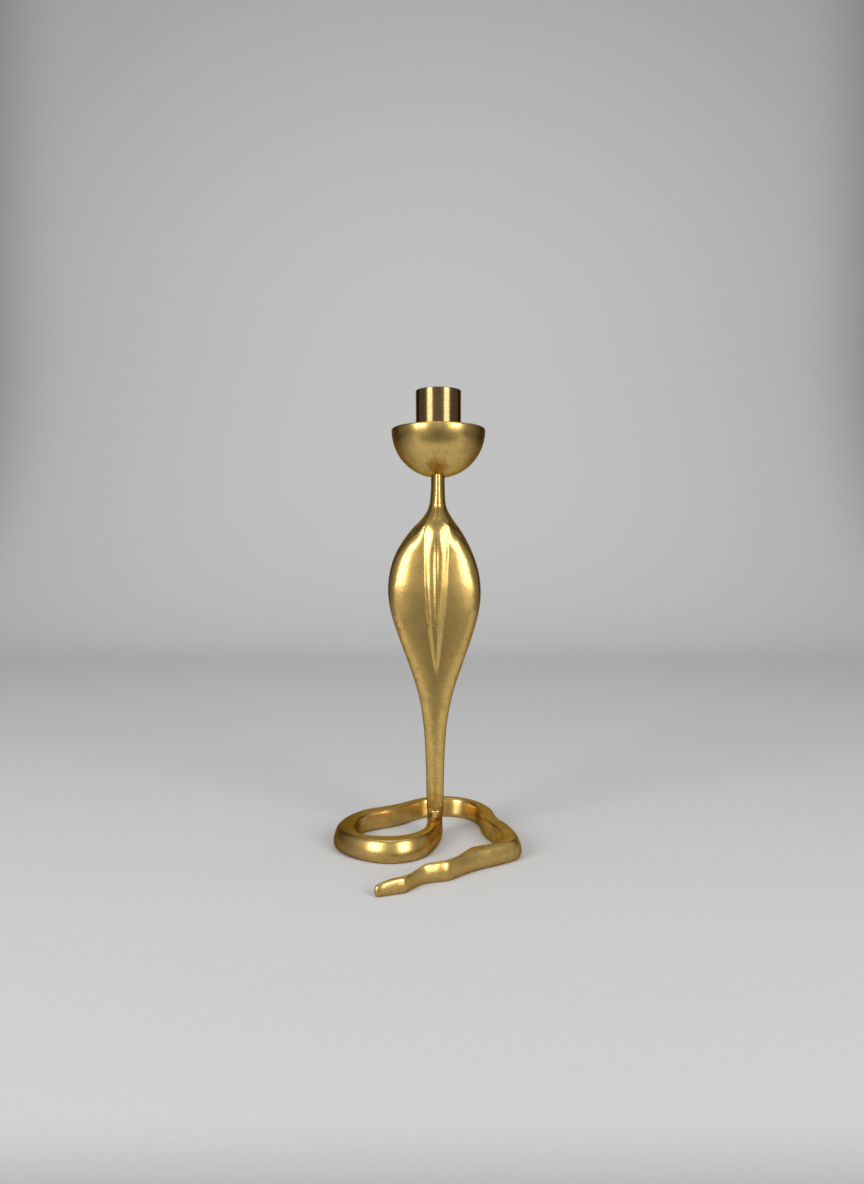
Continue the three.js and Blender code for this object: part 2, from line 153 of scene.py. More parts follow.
# The coil, from the seam round to the tip of the tail. Each row holds its place, the outer
# and the inner side as x, y, the height of the underside, how far the top leans forward, the
# height of the top above it, how far the crest stands in from the outer side, and the rounding.
# It repeats the table of the part's own source. The sides of rows 7 to 49 weren't set by hand: a
# script worked them out through the camera below, from points picked by eye on the photograph,
# and scripts shifted some of them and the tops of rows 4 to 49.
COIL_ROWS = [
    [0, 2.8, -4.4, -6.5, -4.4, SEAM_HEIGHT - SEAM_GAP / 2, -10.3, 0, 3.6, 2.4],
    [1, 2.8, -4.5, -6.5, -4.5, 10, -11, 4.2, 3.5, 2.3],
    [2, 2.8, -5.9, -6.5, -5.9, 4.2, -11.4, 8.1, 3.4, 2.1],
    [3, 2.7, -9.2, -6.6, -9.2, 0.7, -10.6, 10.6, 3.3, 1.8],
    [4, 2.3, -15.5, -6.7, -15.5, 0, -8, 11.3, 3.1, 1.5],
    [5, 1.3, -23.5, -7.2, -23.3, 0, -5.3, 11.2, 2.9, 1.3],
    [6, -0.6, -31.9, -8.1, -30.1, 0, -2.6, 11.2, 2.5, 1.2],
    [7, -3, -40.1, -10, -35.9, 0, -0.8, 11.2, 2.3, 1.2],
    [8, -6.1, -46.7, -12.8, -40.2, 0, 0, 11.2, 2.3, 1.2],
    [9, -11.5, -53.1, -16.5, -43.1, 0, 0, 11.2, 2.3, 1.2],
    [10, -19, -57, -21, -44.9, 0, 0, 11.2, 2.3, 1.2],
    [11, -26.5, -57.5, -26.5, -45.4, 0, 0, 11.2, 2.3, 1.3],
    [12, -35.5, -54.6, -32.8, -44.4, 0, 0, 11.2, 2.3, 1.5],
    [13, -45, -47.8, -38.1, -41.3, 0, 0, 11.2, 2.4, 1.8],
    [14, -51.6, -39.1, -41, -36.1, 0, 0, 11.1, 2.6, 2],
    [15, -54.8, -30, -43.1, -29.4, 0, 0, 11, 2.7, 2],
    [16, -55.3, -20.5, -43.3, -21.4, 0, 0, 10.9, 2.7, 1.9],
    [17, -52.9, -9.5, -42.1, -12.4, 0, 0, 10.6, 2.6, 1.7],
    [18, -47.8, 1, -38.3, -5.1, 0, 0, 10.5, 2.5, 1.5],
    [19, -40.5, 8.7, -32.5, -0.3, 0, 0, 10.5, 2.3, 1.3],
    [20, -31.5, 13.8, -26, 3.7, 0, 0, 10.5, 2.3, 1.2],
    [21, -23, 19.8, -20, 8.9, 0, 0, 10.5, 2.3, 1.2],
    [22, -16, 27, -14.3, 16.1, 0, 0, 10.5, 2.3, 1.2],
    [23, -8.5, 32.9, -8.3, 22.2, 0, 0, 10.5, 2.3, 1.2],
    [24, 1.5, 35.8, 0.5, 24.9, 0, 0, 10.5, 2.3, 1.2],
    [25, 11.5, 34.6, 9.3, 24.3, 0, 0, 10.5, 2.3, 1.2],
    [26, 20, 29.2, 16, 19.9, 0, 0, 10.5, 2.3, 1.3],
    [27, 27.7, 19.3, 20.5, 12.6, 0, 0, 10.5, 2.3, 1.5],
    [28, 31.8, 6.8, 22.3, 3.1, 0, 0, 10.8, 2.3, 1.5],
    [29, 33.4, -5.5, 23, -6.4, 0, 0, 10.8, 2.3, 1.4],
    [30, 34.8, -14.5, 24.5, -14.9, 0, 0, 10.9, 2.3, 1.3],
    [31, 38, -22.5, 27.1, -22.9, 0, 0, 11, 2.4, 1.3],
    [32, 40.5, -31.5, 29.9, -31.7, 0, 0, 10.9, 2.5, 1.5],
    [33, 42, -41, 31.4, -39.9, 0, 0, 10.6, 2.5, 1.8],
    [34, 40.2, -49.9, 30.3, -48.2, 0, 0, 10.3, 2.2, 1.8],
    [35, 34.5, -55.7, 27, -53.1, 0, 0, 10.1, 1.8, 1.5],
    [36, 27, -61.3, 21.5, -55.5, 0, 0, 10, 1.5, 1.3],
    [37, 19.3, -66.3, 15.2, -58.9, 0, 0, 9.9, 1.3, 1.2],
    [38, 13.3, -71.6, 11.1, -65.6, 0, 0, 9.7, 1.3, 1.1],
    [39, 8.5, -76.5, 7.9, -70.8, 0, 0, 9.3, 1.2, 1],
    [40, 4.1, -80.8, 3.7, -74.6, 0, 0, 9, 1, 0.9],
    [41, -1.5, -82.4, -0.9, -76.8, 0, 0, 8.8, 0.9, 0.8],
    [42, -6.7, -84.4, -6.1, -79, 0, 0, 8.4, 0.9, 0.8],
    [43, -10.3, -88.1, -9.9, -82.6, 0, 0, 7.5, 1, 0.9],
    [44, -12.9, -92.3, -13.3, -87.2, 0, 0, 6.9, 1, 0.9],
    [45, -15.1, -95.6, -15.9, -90.4, 0, 0, 6.9, 0.8, 0.8],
    [46, -18.6, -97, -18.5, -91.7, 0, 0, 6.8, 0.7, 0.8],
    [47, -22.6, -98.7, -22.5, -93.5, 0, 0, 6.4, 0.8, 0.9],
    [48, -26.2, -100.2, -26.1, -95.7, 0, 0, 5.6, 1, 1],
    [49, -29, -100.1, -28.8, -97.3, 0, 0, 4.6, 0.9, 0.8],
]
WALL_LEANS = [[0, 2.6], [1, 2.4], [2, 1.4], [3, 0.5], [10, 0.3], [17, 0.4], [20.5, 0.6], [22, 1.6],
              [22.8, 2.6], [25.6, 2.6], [26.6, 1.4], [28, 0.5], [30, 0.4], [36, 0.4], [49, 0.3]]

# Along the coil, how much further the crest stands in than in its row, and how crisp the
# corners are
CREST_SHIFTS = [[0, -2], [1, -1.3], [2, -0.5], [3, 0], [7, 0], [10, 0.7], [34, 0.7], [38, 1.0],
                [44, 0.8], [49, 0.2]]
CRISPNESS = [[0, 1], [1, 1], [2.5, 1.3], [6, 2.2], [10, 1.2], [36, 1.1], [41, 1.2], [49, 1.6]]

# The seam's rounding ends at the first place and the tip's begins at the second; then the
# shape of the tip's end, the coil's section, and the stem's section that it starts from
SEAM_PLACE = 0.06
TIP_PLACE = 48.3
TIP_LENGTH = 0.7
TIP_SQUARENESS = 2.6
TIP_LEAST = 0.0004
BULGE_HEIGHT = 0.4
INNER_CREST_DROP = 0.25
FOOT_MIDDLE = (4.65, 5.0)
FOOT_HALF = (4.55, 5.05)
FOOT_SQUARENESS = 2.45
UNDERCUT = 0.7
ROUNDING_TO_POWER = 0.8

# Places in the hood's finish, in metres: the heights between which the painted shade at the rim
# fades in, the reach of the painted shade under the arch and the half widths of the arch's ridge
RIM_SHADE_FADE = (0.158, 0.138)
ARCH_SHADE = (-0.006, -0.001)
ARCH_RIDGE = (0.0009, 0.0001)

# The studio, seen from the candle's axis
CAMERA_PLACE = (-3.5, -476, 142)
CAMERA_PITCH = 1.32
FOCAL_PIXELS = 870
PICTURE_HEIGHT = 1184
SENSOR = 36


class CastingShape(bpy.types.PropertyGroup):
    """Sizes of the cast and turned pieces that a user would change."""

    bowl_wall: FloatProperty(
        name="Bowl wall", description="Thickness of the drip bowl's wall",
        default=1.9 * MM, min=1 * MM, unit="LENGTH")
    bore: FloatProperty(
        name="Candle bore", description="Diameter of the socket's bore",
        default=22.2 * MM, min=20 * MM, unit="LENGTH")
    wobble: FloatProperty(
        name="Wobble", description="How far the castings wander from their ideal surface",
        default=0.08 * MM, min=0, unit="LENGTH")
    bead_pitch: FloatProperty(
        name="Bead pitch", description="Spacing of the chased beads along the hood's middle",
        default=1.75 * MM, min=0.5 * MM, unit="LENGTH")
    around: IntProperty(
        name="Points around", description="Points round each section of the castings",
        default=128, min=32)


class BrassFinish(bpy.types.PropertyGroup):
    """Colours and roughness of the brass."""

    cast_color: FloatVectorProperty(
        name="Cast brass", description="Reflected colour of the polished castings",
        default=(0.82, 0.56, 0.177), size=3, min=0, max=1, subtype="COLOR")
    # Also the colour of the painted shade on the castings' sides, rims, shoulders and near the table.
    tarnish_and_shade_color: FloatVectorProperty(
        name="Tarnish", description="Colour of the darker, browner patches",
        default=(0.4, 0.26, 0.095), size=3, min=0, max=1, subtype="COLOR")
    # The pits' colour, and also painted shade on the sides of the castings.
    pit_and_side_shade_color: FloatVectorProperty(
        name="Dark tarnish", description="Colour of the pits and of the darkest sides",
        default=(0.2, 0.12, 0.05), size=3, min=0, max=1, subtype="COLOR")
    turned_color: FloatVectorProperty(
        name="Turned brass", description="Reflected colour of the socket",
        default=(0.235, 0.157, 0.068), size=3, min=0, max=1, subtype="COLOR")
    edge_tint: FloatVectorProperty(
        name="Edge tint", description="Colour of reflections at a grazing angle",
        default=(0.52, 0.37, 0.21), size=3, min=0, max=1, subtype="COLOR")
    roughness: FloatProperty(
        name="Roughness", description="Roughness of the polished castings",
        default=0.21, min=0.05, max=1, subtype="FACTOR")
    haze: FloatProperty(
        name="Haze", description="Share of the castings' shine that is spread into a wide glow",
        default=0.3, min=0, max=1, subtype="FACTOR")
    haze_roughness: FloatProperty(
        name="Haze roughness", description="Roughness of the castings' wide glow",
        default=0.42, min=0.05, max=1, subtype="FACTOR")


class StudioSetup(bpy.types.PropertyGroup):
    """Lights and paper sweep."""

    key_power: FloatProperty(
        name="Left light", description="Power of the left softbox",
        default=5.95, min=0, unit="POWER")
    second_power: FloatProperty(
        name="Right light", description="Power of the right softbox",
        default=5.4, min=0, unit="POWER")
    overhead_power: FloatProperty(
        name="Overhead light", description="Power of the wide light above the table",
        default=4.85, min=0, unit="POWER")
    fill_power: FloatProperty(
        name="Front fill", description="Power of the weak light behind the camera",
        default=0.5, min=0, unit="POWER")
    backdrop_power: FloatProperty(
        name="Backdrop light", description="Power of the light on the backdrop",
        default=2.75, min=0, unit="POWER")
    paper_color: FloatVectorProperty(
        name="Paper", description="Colour of the floor and backdrop",
        default=(0.7, 0.7, 0.7), size=3, min=0, max=1, subtype="COLOR")
    room_color: FloatVectorProperty(
        name="Room", description="Tone of the dark room round the studio",
        default=(0.28, 0.28, 0.28), size=3, min=0, max=1, subtype="COLOR")


def through(rows, places):
    """Values at each place of the smooth curve through the rows of a table.

    Between two rows it is a cubic Hermite curve, and its slope at a row is the mean of the
    slopes of the two stretches that meet there.
    """
    rows = np.array(rows, float)
    spots, values = rows[:, 0], rows[:, 1:]
    steps = np.diff(spots)
    secants = np.diff(values, axis=0) / steps[:, None]
    slopes = np.vstack([secants[:1], (secants[1:] + secants[:-1]) / 2, secants[-1:]])
    low = np.clip(np.searchsorted(spots, places, side="right") - 1, 0, len(steps) - 1)
    t = ((places - spots[low]) / steps[low])[:, None]
    step = steps[low][:, None]
    return (values[low] * (1 + 2 * t) * (1 - t) ** 2 + slopes[low] * step * t * (1 - t) ** 2
            + values[low + 1] * t ** 2 * (3 - 2 * t) + slopes[low + 1] * step * t ** 2 * (t - 1))


def swell(distance, squareness):
    """How far a superellipse of unit size stands out at a distance from its middle."""
    return (1 - np.minimum(np.abs(distance), 1) ** squareness) ** (1 / squareness)


def soft_lower(first, second, rounding):
    """The lower of two values, with the crease where they cross rounded by a parabola."""
    near = np.maximum(rounding - np.abs(first - second), 0) / np.maximum(rounding, 1e-9)
    return np.minimum(first, second) - near ** 2 * rounding / 4


def wander(points, size, amount):
    """Points moved a little, as by hand finishing.

    In each direction the move is the sum of two sine waves, 1.4 to 2.5 times size long.
    """
    x, y, z = np.moveaxis(points, -1, 0) / size
    waves = np.stack([
        np.sin(2.1 * y + 1.3 * z + 0.4) + np.sin(3.7 * z - 1.9 * x + 2.0),
        np.sin(1.7 * x + 2.3 * z + 1.1) + np.sin(3.1 * x - 2.6 * z + 0.3),
        np.sin(1.9 * x - 2.2 * y + 2.6) + np.sin(2.9 * x + 3.3 * y + 1.7),
    ], axis=-1)
    return points + waves * amount / 2


def closed_mesh(name, grid, ring=False):
    """A closed, smooth piece from a grid of points, rows of rings round the piece.

    With ring the last row meets the first one; otherwise each end is closed by a fan round
    the middle of its row. Faces are turned to point outwards by the sign of the volume.
    """
    rows, columns = grid.shape[:2]
    points = ((grid + AXIS) * MM).reshape(-1, 3)
    row, column = np.meshgrid(np.arange(rows if ring else rows - 1), np.arange(columns), indexing="ij")
    after, beside = (row + 1) % rows, (column + 1) % columns
    quads = np.stack([row * columns + column, row * columns + beside,
                      after * columns + beside, after * columns + column], -1).reshape(-1, 4)
    faces = [quads[:, [0, 1, 2]], quads[:, [0, 2, 3]]]
    if not ring:
        first = np.arange(columns)
        last = first + (rows - 1) * columns
        tip = len(points)
        faces.append(np.stack([np.roll(first, -1), first, np.full(columns, tip)], -1))
        faces.append(np.stack([last, np.roll(last, -1), np.full(columns, tip + 1)], -1))
        points = np.vstack([points, points[first].mean(0), points[last].mean(0)])
    triangles = np.vstack(faces)
    a, b, c = (points[triangles[:, corner]] for corner in range(3))
    if np.einsum("ij,ij->", a, np.cross(b, c)) < 0:
        triangles = triangles[:, ::-1]
    mesh = bpy.data.meshes.new(name)
    mesh.from_pydata(points.tolist(), [], triangles.tolist())
    mesh.shade_smooth()
    mesh.set_sharp_from_angle(angle=math.radians(50))
    mesh.update()
    piece = bpy.data.objects.new(name, mesh)
    bpy.context.scene.collection.objects.link(piece)
    return piece


def table(rows, places):
    """Values at each place of the straight stretches between pairs of place and value."""
    return np.interp(places, *np.array(rows).T)


def ease(share):
    """A smooth rise from 0 to 1: three times the square less twice the cube."""
    return share ** 2 * (3 - 2 * share)


def stand_for(piece, node, material):
    """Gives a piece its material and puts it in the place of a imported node."""
    piece.data.materials.append(material)
    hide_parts(node)
    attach(piece, "root")


def turned_grid(profile, around):
    """A profile of radius and height carried round the candle's axis as a closed ring of rings."""
    radius, height = np.array(profile, float).T
    angle = np.linspace(0, 2 * np.pi, around, endpoint=False)
    return np.stack([np.outer(np.cos(angle), radius), np.outer(np.sin(angle), radius),
                     np.broadcast_to(height, (around, len(height)))], -1)


def arc(middle, radius, start, end, steps):
    """Points of an arc in a profile; angles are degrees above the outward direction."""
    angle = np.radians(np.linspace(start, end, steps + 1))
    return np.stack([middle[0] + radius * np.cos(angle), middle[1] + radius * np.sin(angle)], -1)


def straight(start, end, steps):
    """Points of a straight stretch of a profile, both ends included."""
    return np.linspace(start, end, steps + 1)


def upright_grid(around):
    """The upright as rings at rising heights.

    The front of a ring stands out by the lower of two swells, the wide face and the round
    trunk behind it, whose crease is rounded; the lancet adds a relief that is flat on top
    with a valley along its middle. The back is one swell. Near the seam the ring draws in by a
    small quarter circle, and at the top the neck rises to meet the bowl's underside.
    """
    low, high, lancet_foot = SEAM_HEIGHT + SEAM_GAP / 2, NECK_TOP, LANCET_ROWS[0][0]
    heights = np.concatenate([
        low + SEAM_ROUNDING * (1 - np.cos(np.linspace(0, np.pi / 2, 6, endpoint=False))),
        np.linspace(low + SEAM_ROUNDING, lancet_foot, 90, endpoint=False),
        np.linspace(lancet_foot, NECK_STRAIGHT, 330, endpoint=False),
        np.linspace(NECK_STRAIGHT, high, 30),
    ])
    middle, half, face_half, edge_y, face, trunk, back = through(UPRIGHT_ROWS, heights).T[:, :, None]
    lancet = through(LANCET_ROWS, np.clip(heights, lancet_foot, LANCET_ROWS[-1][0]))
    lancet_x, lancet_half, relief, valley, squareness, slant = lancet.T[:, :, None]
    front_count = around * 3 // 4
    turn = np.linspace(-np.pi / 2, np.pi / 2, front_count)
    spread = np.sin(turn) * 0.6 + turn / np.pi * 0.8
    x = middle + half * spread[None, :]
    edge = (x - middle) / half
    falling = swell(edge, table(EDGE_SQUARENESS, heights)[:, None])
    on_face = face * swell((x - middle) / face_half, table(FACE_SQUARENESS, heights)[:, None])
    sideways = np.abs(x - middle)
    rise = np.clip(heights[:, None] - (ARCH_HEIGHT - ARCH_FALL * sideways - BEND_REACH), 0, BEND_REACH)
    weight = np.clip((sideways - BEND_SIDES[0]) / (BEND_SIDES[1] - BEND_SIDES[0]), 0, 1)
    bend = BEND_STRENGTH * rise ** 2 * ease(weight)
    on_trunk = trunk * swell(edge, 2)
    rounding = table(CREASE_ROUNDINGS, heights)[:, None]
    body = np.minimum(soft_lower(on_face, on_trunk, rounding * falling), trunk * falling)
    body = body - bend * swell(edge, 2)
    away = np.abs(x - lancet_x)
    squareness = squareness * np.where(x < lancet_x, 1 + 0.3 * slant, 1)
    raised = relief * np.maximum(1 - (away / lancet_half) ** squareness, 0) ** LANCET_SHOULDER
    raised = raised * (1 - slant * np.clip((x - lancet_x) / lancet_half, 0, 1))
    groove = valley * np.exp(-(away / VALLEY_WIDTH) ** 2)
    front = np.stack([x, edge_y - body - (raised - groove) * falling,
                      np.broadcast_to(heights[:, None], x.shape)], -1)
    back_count = around - front_count
    share = np.cos(np.linspace(0, np.pi, back_count + 2))[None, 1:-1]
    back_x = middle + half * share
    rear = np.stack([back_x, edge_y + back * swell(share, BACK_SQUARENESS),
                     np.broadcast_to(heights[:, None], back_x.shape)], -1)
    grid = np.concatenate([front, rear], axis=1)
    bowl_radius = (BOWL_HIGH[0] - BOWL_LOW[0]) / 2 + BOWL_GAP
    bowl_z = BOWL_HIGH[2] - LIP_RADIUS - np.sqrt(bowl_radius ** 2 - (grid[..., :2] ** 2).sum(-1))
    share = np.clip((heights[:, None] - NECK_STRAIGHT) / (high - NECK_STRAIGHT), 0, 1)
    neck = grid[..., 2] > NECK_STRAIGHT
    grid[..., 2] = np.where(neck, NECK_STRAIGHT + share * (bowl_z - NECK_STRAIGHT), grid[..., 2])
    drawn_in = SEAM_ROUNDING - np.sqrt(np.maximum(
        SEAM_ROUNDING ** 2 - np.maximum(SEAM_ROUNDING - (heights - low), 0) ** 2, 0))
    core = grid.mean(1, keepdims=True)
    outward = grid - core
    outward[..., 2] = 0
    length = np.maximum(np.linalg.norm(outward, axis=-1, keepdims=True), 1e-6)
    return grid - outward / length * drawn_in[:, None, None]


def coil_grid(around):
    """The coil as rings along its course.

    A ring is a smooth five-sided shape: in each direction its reach is the power mean of the
    reaches to the five side lines, so a high power gives crisp corners and a low one soft
    corners. Under the seam the reach blends into a superellipse that continues the stem. The
    rings shrink along a rounded end at the tip of the tail and by a quarter circle at the seam.
    """
    places = np.concatenate([
        np.linspace(0, SEAM_PLACE, 6, endpoint=False),
        np.linspace(SEAM_PLACE, 3, 50, endpoint=False),
        np.linspace(3, 36, 380, endpoint=False),
        np.linspace(36, TIP_PLACE, 220, endpoint=False),
        TIP_PLACE + TIP_LENGTH * np.sin(np.linspace(0, np.pi / 2, 24)),
    ])
    columns = through(COIL_ROWS, places).T
    outer_x, outer_y, inner_x, inner_y, under, lean, rise, inset, rounding = columns
    floor = np.maximum(under, 0)
    inner = np.stack([inner_x, inner_y, floor], -1)
    across = np.stack([outer_x - inner_x, outer_y - inner_y, np.zeros_like(floor)], -1)
    up = np.stack([np.zeros_like(lean), lean, rise], -1)
    width = np.linalg.norm(across, axis=-1)
    height = np.linalg.norm(up, axis=-1)
    none = np.zeros_like(width)
    inset = inset + table(CREST_SHIFTS, places)
    corners = np.stack([
        np.stack([none, none], -1),
        np.stack([width - UNDERCUT, none], -1),
        np.stack([width, height * BULGE_HEIGHT], -1),
        np.stack([width - inset, height], -1),
        np.stack([table(WALL_LEANS, places), height - INNER_CREST_DROP], -1),
    ], axis=1)
    joined = ease(np.clip(1 - places / 2, 0, 1))[:, None]
    centre = joined * np.array(FOOT_MIDDLE) + (1 - joined) * np.stack([width, height], -1) * 0.48
    sides = np.roll(corners, -1, axis=1) - corners
    facing = np.stack([sides[..., 1], -sides[..., 0]], -1)
    facing /= np.linalg.norm(facing, axis=-1, keepdims=True)
    distance = np.einsum("rcd,rcd->rc", corners - centre[:, None], facing)
    angle = np.linspace(0, 2 * np.pi, around, endpoint=False)
    way = np.stack([np.cos(angle), np.sin(angle)], -1)
    power = ROUNDING_TO_POWER * table(CRISPNESS, places) * np.minimum(width, height) / rounding
    power = power[:, None, None]
    towards = np.maximum(np.einsum("rcd,ad->rca", facing, way) / distance[..., None], 0)
    reach = (towards ** power).sum(1) ** (-1 / power[:, 0])
    foot = (np.abs(way / np.array(FOOT_HALF)) ** FOOT_SQUARENESS).sum(-1) ** (-1 / FOOT_SQUARENESS)
    reach = joined * foot + (1 - joined) * reach
    end = np.clip((places - TIP_PLACE) / TIP_LENGTH, 0, 1)
    shrink = np.sqrt(np.maximum(1 - end ** TIP_SQUARENESS, TIP_LEAST))
    seam = np.clip(1 - places / SEAM_PLACE, 0, 1)
    reach = reach * shrink[:, None] - SEAM_ROUNDING * (1 - np.sqrt(1 - seam ** 2))[:, None]
    spot = centre[:, None] + reach[..., None] * way
    along = across / width[:, None]
    rising = up / height[:, None]
    return inner[:, None] + spot[..., :1] * along[:, None] + spot[..., 1:] * rising[:, None]


def bowl_profile(wall):
    """The bowl's section: a circle outside and inside, joined by a round lip and a flat seat."""
    centre_z = BOWL_HIGH[2] - wall / 2
    radius = (BOWL_HIGH[0] - BOWL_LOW[0]) / 2
    inner = radius - wall
    hole = 2.0
    seat = SOCKET_LOW[2] - 3.8
    low_angle = -math.degrees(math.acos(hole / radius))
    seat_angle = -math.degrees(math.asin((centre_z - seat) / inner))
    return np.vstack([
        arc((0, centre_z), radius, low_angle, 0, 90),
        arc((radius - wall / 2, centre_z), wall / 2, 0, 180, 14)[1:],
        arc((0, centre_z), inner, 0, seat_angle, 80)[1:],
        straight((hole + 1, seat), (hole, seat), 2),
        straight((hole, seat), (hole, centre_z - math.sqrt(radius ** 2 - hole ** 2)), 4)[1:-1],
    ])


def socket_profile(bore):
    """The socket's section: a slightly flared tube with a floor, a recess for the screw and a hole."""
    foot, top = SOCKET_LOW[2], SOCKET_HIGH[2]
    radius = (SOCKET_HIGH[0] - SOCKET_LOW[0]) / 2
    foot_radius = radius - 0.2
    floor = SCREW_HIGH[2] + 0.2
    inner = bore / 2
    recess, hole = 3.5, 2.0
    rim = 0.35
    return np.vstack([
        straight((hole, foot), (foot_radius - 1, foot), 8),
        arc((foot_radius - 1, foot + 1), 1, -90, 0, 8)[1:],
        straight((foot_radius, foot + 1), (radius, top - rim), 60)[1:],
        arc((radius - rim, top - rim), rim, 0, 90, 6)[1:],
        arc((inner + rim, top - rim), rim, 90, 180, 6),
        straight((inner, top - rim), (inner, floor + 0.3), 40)[1:],
        straight((inner - 0.3, floor), (recess + 0.2, floor), 8),
        straight((recess, floor - 0.2), (recess, floor - 3.8), 6),
        straight((recess, floor - 3.8), (hole, floor - 3.8), 3)[1:],
        straight((hole, floor - 3.8), (hole, foot), 4)[1:-1],
    ])


class Wiring:
    """Adds nodes to a material: settings go to properties, inputs are set or linked by name."""

    def __init__(self, name):
        self.material = bpy.data.materials.new(name)
        self.material.use_nodes = True
        self.tree = self.material.node_tree
        self.tree.nodes.clear()
        self.output = self.tree.nodes.new("ShaderNodeOutputMaterial")

    def add(self, kind, inputs=None, **settings):
        made = self.tree.nodes.new("ShaderNode" + kind)
        for key, value in settings.items():
            setattr(made, key, value)
        for key, value in (inputs or {}).items():
            if isinstance(value, bpy.types.NodeSocket):
                self.tree.links.new(value, made.inputs[key])
            else:
                made.inputs[key].default_value = value
        return made

    def noise(self, place, scale, detail=2.0, roughness=0.5):
        inputs = {"Vector": place, "Scale": scale, "Detail": detail, "Roughness": roughness}
        return self.add("TexNoise", inputs).outputs["Fac"]

    def steps(self, value, low, high, start=0.0, end=1.0):
        """A smooth rise from start to end while the value goes from low to high."""
        inputs = {"Value": value, "From Min": low, "From Max": high, "To Min": start, "To Max": end}
        made = self.add("MapRange", inputs, interpolation_type="SMOOTHSTEP")
        return made.outputs["Result"]

    def math(self, operation, first, second=0.0):
        """One step of arithmetic, named as the node names it."""
        return self.add("Math", {0: first, 1: second}, operation=operation).outputs["Value"]

    def plus(self, first, second, share):
        """The first value with a share of the second one added."""
        return self.math("ADD", first, self.math("MULTIPLY", second, share))

    def blend(self, factor, first, second):
        """The first colour where the factor is 0 and the second where it is 1."""
        made = self.tree.nodes.new("ShaderNodeMix")
        made.data_type = "RGBA"
        for index, value in ((0, factor), (6, first), (7, second)):
            if isinstance(value, bpy.types.NodeSocket):
                self.tree.links.new(value, made.inputs[index])
            else:
                made.inputs[index].default_value = value
        return made.outputs[2]

    def bump(self, height, distance, under=None):
        inputs = {"Height": height, "Distance": distance, "Strength": 1.0}
        if under is not None:
            inputs["Normal"] = under
        return self.add("Bump", inputs).outputs["Normal"]


def opaque(color):
    return (*color, 1.0)


